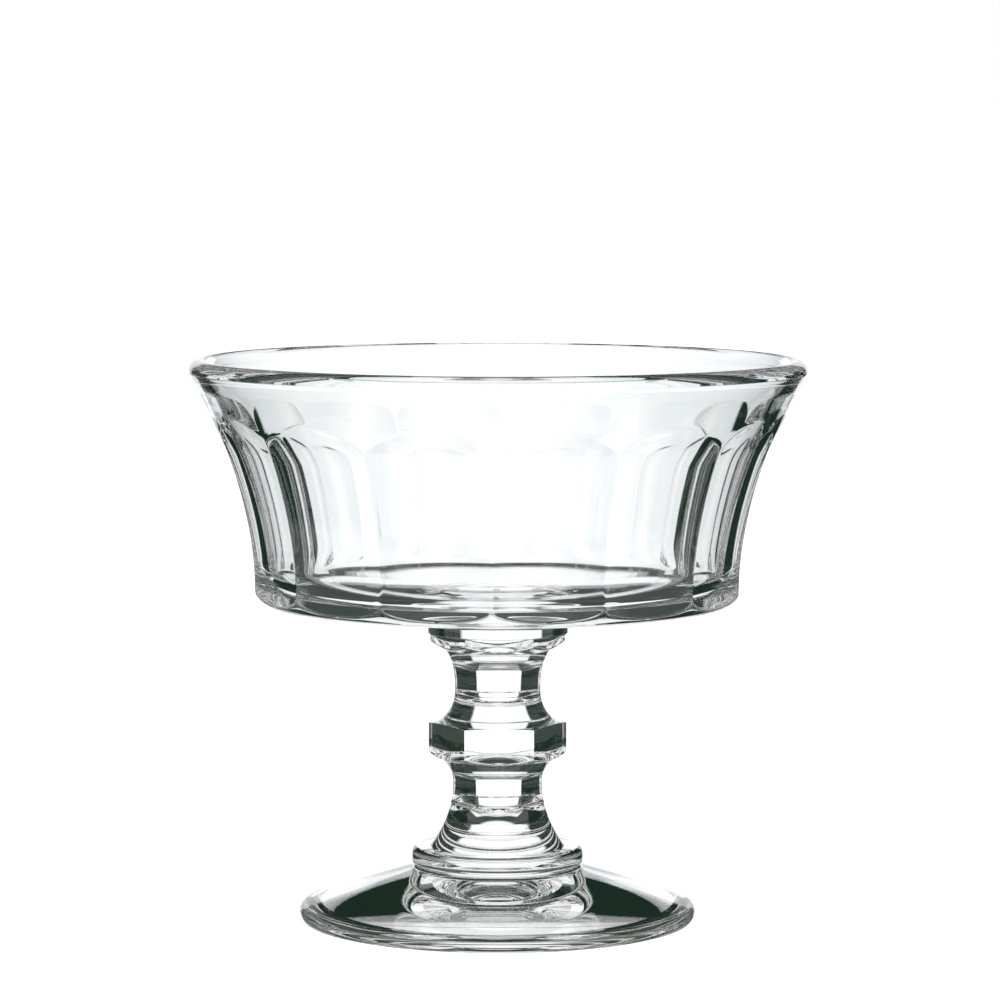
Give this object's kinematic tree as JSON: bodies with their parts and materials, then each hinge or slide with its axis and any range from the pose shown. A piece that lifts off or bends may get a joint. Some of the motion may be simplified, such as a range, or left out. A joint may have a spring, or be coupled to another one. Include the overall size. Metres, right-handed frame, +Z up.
{
  "type": "footed dessert glass",
  "caption": "Low footed dessert glass of clear pressed glass: wide flared bowl with flat arched flutes and a scalloped heel, six-sided stem with a knop, round domed foot.",
  "frame": {"origin": "on the table under the middle of the foot, where the axis of the glass meets the standing ring's plane", "axes": "+Z up along the axis of the glass, -Y towards a flat of the hexagonal stem, which is the front in the picture"},
  "size_m": [0.11, 0.11, 0.1005],
  "materials": {
    "clear_glass": "clear fire-polished pressed glass with a faint green tint in its thickness"
  },
  "bodies": {
    "root": {"bowl": "clear_glass", "merese": "clear_glass", "upper_stem": "clear_glass", "knop": "clear_glass", "lower_stem": "clear_glass", "foot_collar": "clear_glass", "foot": "clear_glass"}
  },
  "joints": []
}
